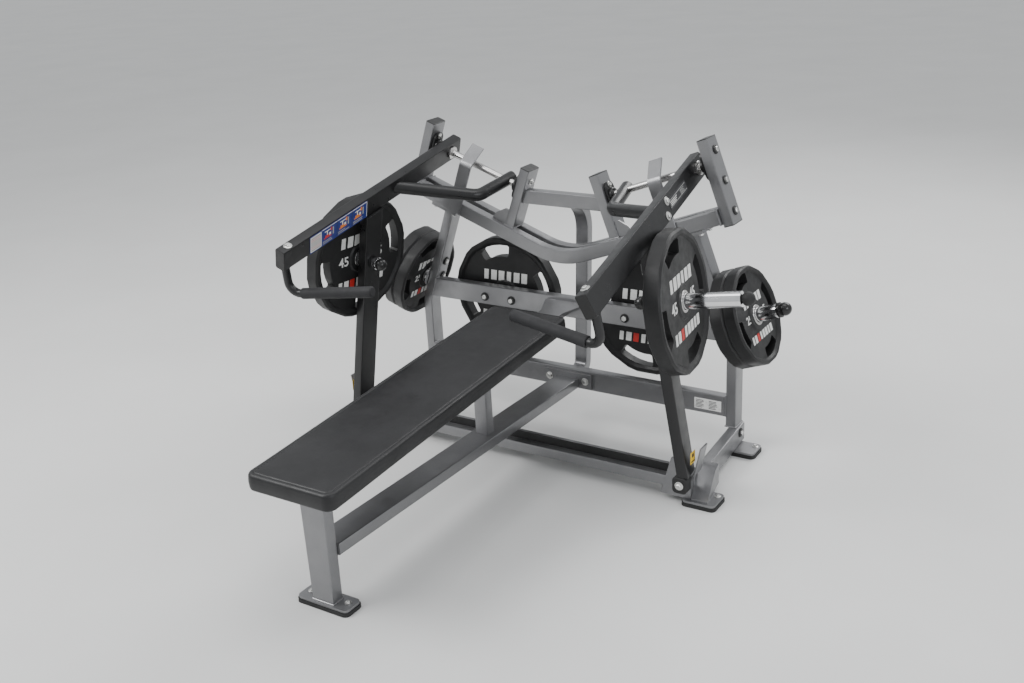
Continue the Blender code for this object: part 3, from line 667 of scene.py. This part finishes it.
def upright_fasteners(side):
    """The bolts of the side horn's plate, the wing flange and the upright's foot."""
    sign = SIDES[side]
    out, up = slope_axes(side)
    for h in (0.316, 0.252):
        bolt("frame", sloped(side, UPRIGHT_S - TUBE_THIN / 2, 1.456, h), -out, 0.0095, 0.017, True)
    flange = WING_H - WING_TALL / 2 - WING_PLATE_THICK
    for s in (UPRIGHT_S - 0.043, UPRIGHT_S + 0.043):
        for y in (1.393, 1.462):
            bolt("frame", sloped(side, s, y, flange), -up, 0.0075, 0.0125)
    bolt("frame", at(sign * 0.6662, 1.440, 0.066), X * sign, 0.0095, 0.0165, True)


def frame_fasteners():
    for sign in (1, -1):
        for x in (0.237, 0.355):
            bolt("frame", at(sign * x, BEAM_Y, STORE_Z), -Y, dark=True)
            nut("frame", at(sign * x, BEAM_BACK, STORE_Z), Y)
        bolt("frame", at(sign * 0.075, BEAM_Y - SPINE_PLATE_THICK, 0.165), -Y, 0.009, 0.0145)
    for side, sign in SIDES.items():
        tower_fasteners(side)
        upright_fasteners(side)
        bolt("frame", at(sign * 0.651, 0.965, 0.0813), -Y, 0.0085, 0.0145)
        for x, y in ((0.743, 1.060), (0.719, 1.448), (0.067, 0.030)):
            bolt("frame", at(sign * x, y, FOOT_TOP), Z, 0.0065, 0.0105)


def frame_caps():
    """The plastic plugs in the open ends of the towers."""
    for side in SIDES:
        out, up = slope_axes(side)
        wide, deep = out * TUBE_THIN, Y * TUBE_DEEP
        low, high = OUTER_TOWER_H
        end_cap("frame", sloped(side, OUTER_TOWER_S, TOWER_Y, high), wide, deep, up)
        end_cap("frame", sloped(side, OUTER_TOWER_S, TOWER_Y, low), wide, deep, -up)
        end_cap("frame", sloped(side, INNER_TOWER_S, TOWER_Y, INNER_TOWER_TOP), wide, deep, up)


# Labels

def sticker(group, body, centre, right, up, width, height, marks, base):
    """A thin sheet with marks, each (left, low, wide, tall, coat) as shares of the sheet."""
    face = right.cross(up).normalized()
    right = right.normalized()
    up = up.normalized()
    sheet = brick(centre + face * SKIN, right * width, up * height, face * STICKER_THICK, 0.0001)
    gather(group, body, base, sheet)
    corner = centre + face * (SKIN + STICKER_THICK) - right * (width / 2) - up * (height / 2)
    for layer, (left, low, wide, tall, coat) in enumerate(marks):
        middle = corner + right * (width * (left + wide / 2)) + up * (height * (low + tall / 2))
        u, v = right * (width * wide), up * (height * tall)
        rise = face * (INK_RISE * (1 + 0.05 * layer))
        gather(group, body, coat, brick(middle, u, v, rise, INK_RISE / 4))


def text_lines(left, low, wide, tall, rows, coat, seed):
    """Bars of uneven length that stand for small print."""
    marks = []
    pitch = tall / rows
    for row in range(rows):
        share = min(1, 0.72 + 0.28 * noise.noise(Vector((seed, row * 1.7, 0.3))))
        marks.append((left, low + tall - pitch * (row + 0.8), wide * share, pitch * 0.42, coat))
    return marks


def arm_frame(side):
    """(point of the arm's centre line over the shaft, along it forwards, its up, outwards)."""
    out, up = slope_axes(side)
    forward = -(Y * cos(ARM_FALL) + up * sin(ARM_FALL))
    square = up * cos(ARM_FALL) - Y * sin(ARM_FALL)
    return sloped(side, ARM_S, TOWER_Y, PIVOT_H), forward, square, out


def arm_spot(side, y, rise, face):
    """A point on the arm at y, at a rise from its centre line; face is 1 out, -1 in, 0 between."""
    start, forward, square, out = arm_frame(side)
    reach = (TOWER_Y - y) / cos(ARM_FALL)
    return start + forward * reach + square * rise + out * (face * TUBE_THIN / 2)


def placard():
    """The instruction placard on the left arm's inner face: a white block and three blue panels."""
    _, forward, square, _ = arm_frame("left")
    centre = arm_spot("left", 0.822, -0.0015, -1)
    marks = [(0.008, 0.06, 0.185, 0.88, WHITE)]
    for row in range(7):
        coat = RED if row in (1, 5) else DARK_PRINT
        marks.append((0.018, 0.13 + row * 0.113, 0.165, 0.045, coat))
    for panel in range(3):
        left = 0.205 + panel * 0.265
        marks.append((left, 0.93, 0.255, 0.035, WHITE))
        marks.append((left + 0.255, 0.04, 0.006, 0.90, WHITE if panel == 2 else DARK_PRINT))
        marks += text_lines(left + 0.012, 0.07, 0.22, 0.20, 2, GREY, 7 + panel)
        marks += figure(left + 0.03, RED if panel == 0 else ORANGE)
    sticker("placard", "lever_left", centre, -forward, square, 0.285, 0.069, marks, BLUE)


def figure(left, coat):
    """A plain diagram of a bench with a bar over it, made of blocks."""
    shape = [(0.00, 0.34, 0.13, 0.07, coat), (0.02, 0.41, 0.07, 0.12, coat)]
    shape += [(0.09, 0.44, 0.03, 0.14, WHITE), (0.05, 0.53, 0.015, 0.24, WHITE)]
    shape += [(0.015, 0.73, 0.10, 0.045, WHITE), (0.15, 0.36, 0.02, 0.42, GREY)]
    shape.append((0.115, 0.64, 0.025, 0.20, coat))
    return [(left + x, low, wide, tall, tone) for x, low, wide, tall, tone in shape]


def labels():
    """Small printed labels, all with bars in place of words."""
    _, forward, square, _ = arm_frame("right")
    marks = [(0.03, 0.75, 0.94, 0.05, GREY), (0.03, 0.18, 0.94, 0.05, GREY)]
    marks += text_lines(0.07, 0.26, 0.5, 0.44, 3, WHITE, 11)
    marks += text_lines(0.64, 0.26, 0.28, 0.44, 4, GREY, 12)
    centre = arm_spot("right", 1.235, 0.0, 1)
    sticker("arm_label", "lever_right", centre, -forward, square, 0.150, 0.036, marks, DARK_PRINT)
    marks = text_lines(0.05, 0.1, 0.42, 0.8, 6, DARK_PRINT, 21)
    marks += text_lines(0.54, 0.1, 0.4, 0.8, 6, DARK_PRINT, 22)
    sticker("frame_label", "frame", at(0.555, BEAM_Y, 0.162), X, Z, 0.100, 0.040, marks, WHITE)


# Joints between tubes

def rectangle(centre, u, v):
    return [centre + u * (p / 2) + v * (q / 2) for p, q in CORNER_SIGNS]


def beam_end(side, z):
    """Where the front of the middle beam's end meets the leaning upright at a height z."""
    x = (UPRIGHT_S - TUBE_THIN / 2 - z * sin(SLOPE)) / cos(SLOPE)
    return at(SIDES[side] * x, BEAM_Y, z)


def frame_welds():
    """The beads where the frame's tubes meet."""
    across_tube = Y * TUBE_THIN
    for side, sign in SIDES.items():
        out, up = slope_axes(side)
        foot = sloped(side, INNER_TOWER_S, TOWER_Y, WING_H + WING_TALL / 2 + WELD_CLEAR)
        weld("frame", rectangle(foot, out * TUBE_THIN, Y * TUBE_DEEP), True)
        base = at(sign * UPRIGHT_X, UPRIGHT_Y, 0.0892)
        weld("frame", rectangle(base, X * TUBE_THIN, Y * UPRIGHT_DEEP), True)
        head_h = WING_H - WING_TALL / 2 - WING_PLATE_THICK - GAP
        head = sloped(side, UPRIGHT_S, UPRIGHT_Y, head_h)
        weld("frame", rectangle(head, out * TUBE_THIN, Y * UPRIGHT_DEEP), True)
        for y in WINGS_Y:
            end = sloped(side, OUTER_TOWER_S - TUBE_THIN / 2 - WELD_CLEAR, y, WING_H)
            weld("frame", rectangle(end, up * WING_TALL, across_tube), True)
        upright_front = UPRIGHT_Y - UPRIGHT_DEEP / 2
        middle_y = (upright_front + BEAM_BACK) / 2
        end = at(sign * (UPRIGHT_X - TUBE_THIN / 2), middle_y, LOW_TUBE_MIDDLE)
        weld("frame", rectangle(end, Z * TUBE_DEEP, Y * (BEAM_BACK - upright_front)), True)
        for z in BEAM_Z:
            weld("frame", [beam_end(side, z), beam_end(side, z) + across_tube])
        weld("frame", [beam_end(side, z) for z in BEAM_Z])
        weld("frame", [at(sign * 0.6695, TIE_FACE, z) for z in (0.024, 0.098)])
    weld("frame", rectangle(at(0, 0.0215, 0.0212), X * 0.0776, Y * 0.043), True)


def lever_welds(side):
    body = f"lever_{side}"
    _, forward, square, out = arm_frame(side)
    post = arm_spot(side, 1.0, -TUBE_DEEP / 2, 0) + out * (POST_S - ARM_S)
    weld(body, rectangle(post, out * TUBE_THIN, forward * TUBE_DEEP), True, BLACK)
    grip = arm_spot(side, 0.590, -TUBE_DEEP / 2, 0)
    round_weld(body, grip, square, 0.0150, BLACK, 0.002)


def lever_details(side):
    """End caps, bolts and hub collars of one lever."""
    body = f"lever_{side}"
    start, forward, square, out = arm_frame(side)
    wide, deep = out * TUBE_THIN, square * TUBE_DEEP
    front = start + forward * ((TOWER_Y - ARM_FRONT_Y) / cos(ARM_FALL))
    end_cap(body, front, wide, deep, forward)
    end_cap(body, start - forward * ARM_TAIL, wide, deep, -forward)
    bolt(body, arm_spot(side, 0.602, TUBE_DEEP / 2, 0), square, 0.0085, 0.0145)
    for y, rise in ((1.157, 0.018), (1.129, -0.020)):
        bolt(body, arm_spot(side, y, rise, 1), out, 0.0085, 0.014)
    for face in (1, -1):
        hub = start + out * (face * TUBE_THIN / 2)
        ring = [(0, 0.0235), (0.0065, 0.0235), (0.0078, 0.022)]
        collar = lathe(hub + out * (face * SKIN), out * face, ring, 32)
        gather(f"{body}_collars", body, STEEL, collar)
        screw = hub + out * (face * 0.0035) + square * 0.0232
        head = lathe(screw, square, [(0, 0.0035), (0.0012, 0.0033)], 12)
        gather(f"{body}_collars", body, CAP, head)


# Weight plates

def plate_axes(node):
    """(centre of the outer face, outwards, up, across) of a plate, from its mesh and its slide."""
    axis = Vector(JOINTS[f"{node}_slide"]["axis"]).normalized()
    points = np.array([vert.co for vert in frame["nodes"][node].data.vertices])
    up = (Z - axis * axis.z).normalized()
    across = up.cross(axis)
    centre = axis * (points @ np.array(axis)).max()
    for way in (across, up):
        span = points @ np.array(way)
        centre += way * ((span.min() + span.max()) / 2)
    return centre, axis, up, across


def bar_word(group, body, middle, across, up, height, coats):
    """A word's worth of raised bars, alternately wide and narrow, one coat to each."""
    pitch = height * 0.86
    lean = (up + across * 0.10).normalized()
    face = across.cross(up)
    for i, coat in enumerate(coats):
        wide = pitch * (0.74 if i % 3 else 0.56)
        spot = middle + across * (pitch * (i - (len(coats) - 1) / 2))
        bar = brick(spot, across * wide, lean * height, face * PRINT_RISE, 0.0002)
        gather(group, body, coat, bar)


def plate_marks(group, body, centre, face, up, across, radius, number):
    """The steel hub ring, raised ridges and white markings on one face of a plate."""
    dish = centre - face * DISH_DEPTH
    hub = annulus(centre - face * 0.004, face, 0.0262, 0.0345, -0.0004, 0.0016)
    gather(group, body, STEEL, hub)
    for inner, outer, sides in ((0.205, 0.225, 40), (0.880, 0.892, 64)):
        ridge = annulus(dish, face, radius * inner, radius * outer, -0.001, 0.0012, sides=sides)
        gather(group, body, PLATE_RUBBER, ridge)
    bar_word(group, body, dish + up * (radius * 0.315), across, up, radius * 0.175, [WHITE] * 6)
    lower = [WHITE, WHITE, RED] + [WHITE] * 5
    bar_word(group, body, dish - up * (radius * 0.400), across, up, radius * 0.150, lower)
    for side in (1, -1):
        figures = lettering(number, radius * 0.215, PRINT_RISE)
        spot = dish + across * (side * radius * 0.37)
        gather(group, body, WHITE, placed(figures, spot, across, up))


def dress_plate(node, radius, number, thick):
    """Mark both faces of a plate."""
    centre, axis, up, across = plate_axes(node)
    plate_marks(f"{node}_marks", node, centre, axis, up, across, radius, number)
    plate_marks(f"{node}_marks", node, centre - axis * thick, -axis, up, -across, radius, number)


def ball(radius, start, end, steps):
    """Stations along a ball's axis between two angles from its equator."""
    turns = [start + (end - start) * step / steps for step in range(steps + 1)]
    return [(radius * sin(turn), radius * cos(turn)) for turn in turns]


def ball_cap(name, body, centre, axis):
    """A round rubber end on a chrome horn, with the collar that grips the horn."""
    foot = -CAP_COLLAR
    stations = [(foot - 0.004, 0.0252), (foot, 0.0258), (foot + 0.006, 0.0256)]
    stations.append((foot + 0.0085, 0.0205))
    stations += ball(BALL_RADIUS + 0.0008, -0.45, NEARLY_POLE, 10)
    gather(name, body, BALL, lathe(centre, axis, sorted(stations), 32))


def horn_details(side):
    """The caps on one side's two storage horns."""
    sign = SIDES[side]
    out, _ = slope_axes(side)
    seat = sloped(side, UPRIGHT_S + TUBE_THIN / 2 + GAP, SIDE_STORE_Y, SIDE_STORE_H)
    middle = seat + out * (SIDE_STORE_LENGTH + HORN_TO_CAP)
    ball_cap(f"side_horn_cap_{side}", "frame", middle, out)
    seat = at(sign * STORE_X, BEAM_BACK + GAP, STORE_Z)
    ball_cap(f"rear_horn_cap_{side}", "frame", seat + Y * (STORE_LENGTH + HORN_TO_CAP), Y)


def knob(side):
    """The rubber knob on the inner end of the loading horn's rod."""
    body = f"lever_{side}"
    centre, axis, _, _ = plate_axes(f"loaded_plate_{side}")
    stations = ball(KNOB_RADIUS, -NEARLY_POLE, 0.62, 12)
    gather(f"{body}_knob", body, BALL, lathe(centre - axis * 0.1455, axis, stations, 32))
    collar = centre - axis * 0.1315
    gather(f"{body}_knob", body, CHROME, annulus(collar, axis, 0.0152, 0.0225, 0.0, 0.012, 0.001))


# Upholstery

def pad_place():
    """(half width, length, the y of the pad's middle, the height of its top there)."""
    low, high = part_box("bench_pad")
    length = high.y - low.y
    return (high.x - low.x) / 2, length, (low.y + high.y) / 2, high.z - PAD_RISE * length / 2


def outline(half, length, inset):
    """Points round the pad at an inset from its edge, as (x, y) from its middle."""
    reach = max(PAD_CORNER - inset, 0.0006)
    a = half - inset - reach
    b = length / 2 - inset - reach
    corners = [(a * p, b * q) for p, q in CORNER_SIGNS]
    points = []
    for quarter, (x, y) in enumerate(corners):
        for step in range(11):
            turn = pi / 2 * (quarter + step / 10)
            points.append((x + reach * cos(turn), y + reach * sin(turn)))
        next_x, next_y = corners[(quarter + 1) % 4]
        start = Vector(points[-1])
        end = Vector((next_x + reach * cos(turn), next_y + reach * sin(turn)))
        count = 130 if quarter % 2 else 30
        for step in range(1, count):
            point = start.lerp(end, step / count)
            points.append((point.x, point.y))
    return points


def pad_section(half):
    """(inset, depth under the top) of the rings from the middle of the top round to the board."""
    rings = []
    first = half - 0.004
    for step in range(14):
        inset = first - (first - SEAM_INSET - 0.004) * step / 13
        rings.append((inset, -CROWN * (1 - (1 - inset / half) ** 2)))
    edge = rings[-1][1]
    for inset, depth in ((0.0022, 0.0006), (0.0008, 0.0022), (-0.0008, 0.0022), (-0.0022, 0.0006)):
        rings.append((SEAM_INSET + inset, edge + depth))
    rings.append((SEAM_INSET - 0.004, edge + 0.0003))
    shoulder = 0.0105
    for step in range(1, 7):
        turn = pi / 2 * step / 6
        rings.append((shoulder * (1 - sin(turn)), edge + 0.0006 + shoulder * (1 - cos(turn))))
    top = rings[-1][1]
    tuck = 0.009
    foot = PAD_THICK - tuck
    for step in range(1, 8):
        share = step / 7
        rings.append((-0.0012 * sin(pi * share), top + (foot - top) * share))
    for step in range(1, 6):
        turn = pi / 2 * step / 5
        rings.append((tuck * (1 - cos(turn)), foot + tuck * sin(turn)))
    return rings + [(0.030, PAD_THICK), (0.148, PAD_THICK)]


def cushion_point(x, y, inset, depth, half, length):
    """A point of the cover, offset from the pad's middle top, with its puckers and unevenness."""
    near = max(0.0, 1 - abs(inset - SEAM_INSET) / 0.012) if depth < 0.02 else 0.0
    level = PAD_RISE * y - depth + 0.0006 * near * noise.noise(Vector((x * 95, y * 95, 1.5)))
    if depth < 0.004:
        level += 0.0010 * noise.noise(Vector((x * 7, y * 7, 4.2)))
    if depth > 0.012:
        around = atan2(y / length, x / half)
        x *= 1 + 0.0012 / half * noise.noise(Vector((around * 9, depth * 60, 7.7)))
    return Vector((x, y, level))


def bench_cushion():
    """The foam pad in its vinyl cover, with a crowned top and a sewn seam inside its edge."""
    half, length, middle_y, middle_top = pad_place()
    middle = Vector((0, middle_y, middle_top))
    rings = []
    for inset, depth in pad_section(half):
        places = outline(half, length, inset)
        spots = [cushion_point(x, y, inset, depth, half, length) for x, y in places]
        rings.append([middle + spot for spot in spots])
    points, faces = skin(rings)
    mesh = bpy.data.meshes.new("bench_cushion")
    mesh.from_pydata(points, [], [tuple(reversed(face)) for face in faces])
    mesh.materials.append(VINYL)
    mesh.shade_smooth()
    made = bpy.data.objects.new("bench_cushion", mesh)
    bpy.context.scene.collection.objects.link(made)
    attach(made, "frame")
    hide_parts("bench_pad")


def stitches():
    """The run of thread beside the pad's seam."""
    half, length, middle_y, middle_top = pad_place()
    inset = SEAM_INSET + 0.0048
    level = middle_top + CROWN * (1 - (1 - inset / half) ** 2) + 0.0001
    corners = [Vector((x, y, 0)) for x, y in outline(half, length, inset)]
    path = spaced(corners, 0.0022, True)
    run = 3
    for start in range(0, len(path) - run, run + 2):
        spots = path[start:start + run]
        line = [Vector((p.x, p.y + middle_y, level + PAD_RISE * p.y)) for p in spots]
        gather("pad_stitches", "frame", DARK_PRINT, rope(line, 0.0005, 5))


# Other details

def tie_strip():
    """A black strip of painted shade along the upper part of the front tie's face: a dark sheet, in the feet's
    rubber coat, put where the face lies in shadow.
    """
    centre = at(0, TIE_FACE - SKIN, 0.094)
    # painted shade: a black sheet standing in for the shadow on the tie's face
    shade_sheet = brick(centre, X * 1.31, Z * 0.030, -Y * 0.0012, 0.0004)
    gather("tie_strip", "frame", SHOE_RUBBER, shade_sheet)


def stop_stickers():
    """The yellow warning sticker on each post."""
    for side, sign in SIDES.items():
        body = f"lever_{side}"
        spot = at(sign * 0.6815, 1.0, 0.174)
        marks = [(0.30, 0.52, 0.40, 0.30, DARK_PRINT), (0.12, 0.12, 0.76, 0.10, DARK_PRINT)]
        sticker(f"{body}_spot", body, spot, Y * sign, Z, 0.034, 0.040, marks, YELLOW)


def build_details():
    coat_nodes()
    frame_fasteners()
    frame_caps()
    frame_welds()
    placard()
    labels()
    # the black strip of painted shade on the front tie's face
    tie_strip()
    stop_stickers()
    for side in SIDES:
        lever_details(side)
        lever_welds(side)
        knob(side)
        horn_details(side)
        dress_plate(f"loaded_plate_{side}", PLATE_RADIUS, "45", PLATE_THICK)
        dress_plate(f"rear_plate_{side}", PLATE_RADIUS, "45", PLATE_THICK)
        dress_plate(f"side_plates_{side}", SIDE_PLATE_RADIUS, "25", SIDE_STACK)
    stitches()
    join_gathered()
    bench_cushion()


# Stage, light and camera

def make_stage():
    mesh = bpy.data.meshes.new("studio_floor")
    reach = 60
    corners = [(-reach, -reach, 0), (reach, -reach, 0), (reach, reach, 0), (-reach, reach, 0)]
    mesh.from_pydata(corners, [], [(0, 1, 2, 3)])
    mesh.materials.append(floor_paint())
    floor = bpy.data.objects.new("studio_floor", mesh)
    bpy.context.scene.collection.objects.link(floor)


def area_light(name, place, target, size, power, colour=(1, 1, 1)):
    light = bpy.data.lights.new(name, "AREA")
    light.shape = "RECTANGLE"
    light.size, light.size_y = size
    light.energy = power
    light.color = colour
    made = bpy.data.objects.new(name, light)
    made.location = place
    made.rotation_euler = (Vector(target) - Vector(place)).to_track_quat("-Z", "Y").to_euler()
    bpy.context.scene.collection.objects.link(made)


def make_light():
    world = bpy.data.worlds.new("studio")
    bpy.context.scene.world = world
    world.use_nodes = True
    back = world.node_tree.nodes["Background"]
    back.inputs["Color"].default_value = (0.88, 0.90, 0.92, 1)
    back.inputs["Strength"].default_value = 0.80
    area_light("key", (-2.6, -2.2, 3.8), (0, 0, 0.5), (2.6, 1.8), 150)
    area_light("fill", (4.2, -1.4, 2.4), (0, 0.2, 0.5), (2.4, 2.0), 55, (0.95, 0.97, 1))
    area_light("rim", (1.0, 4.0, 3.4), (0, 0.4, 0.6), (3.2, 1.4), 110)
    area_light("top", (0.2, 0.2, 4.6), (0, 0.2, 0), (2.2, 3.4), 60)


AZIMUTH = radians(33.33)
PITCH = radians(21.0)
ROLL = radians(-3.2)
CAMERA_PLACE = at(2.0169, -2.0243, 1.8481)
FOCAL = 40.78  # mm, on a 36 mm sensor


def make_camera():
    """The camera at the reference's place, direction, roll and focal length."""
    forward = Vector((-sin(AZIMUTH) * cos(PITCH), cos(AZIMUTH) * cos(PITCH), -sin(PITCH)))
    level = Vector((cos(AZIMUTH), sin(AZIMUTH), 0))
    up = level.cross(forward)
    right = level * cos(ROLL) + up * sin(ROLL)
    head = up * cos(ROLL) - level * sin(ROLL)
    lens = bpy.data.cameras.new("camera")
    lens.sensor_width = 36
    lens.lens = FOCAL
    lens.clip_end = 100
    camera = bpy.data.objects.new("camera", lens)
    turn = Matrix((right, head, -forward)).transposed().to_4x4()
    camera.matrix_world = Matrix.Translation(CAMERA_PLACE) @ turn
    bpy.context.scene.collection.objects.link(camera)
    bpy.context.scene.camera = camera


build_details()
make_stage()
make_light()
make_camera()
bpy.context.view_layer.update()
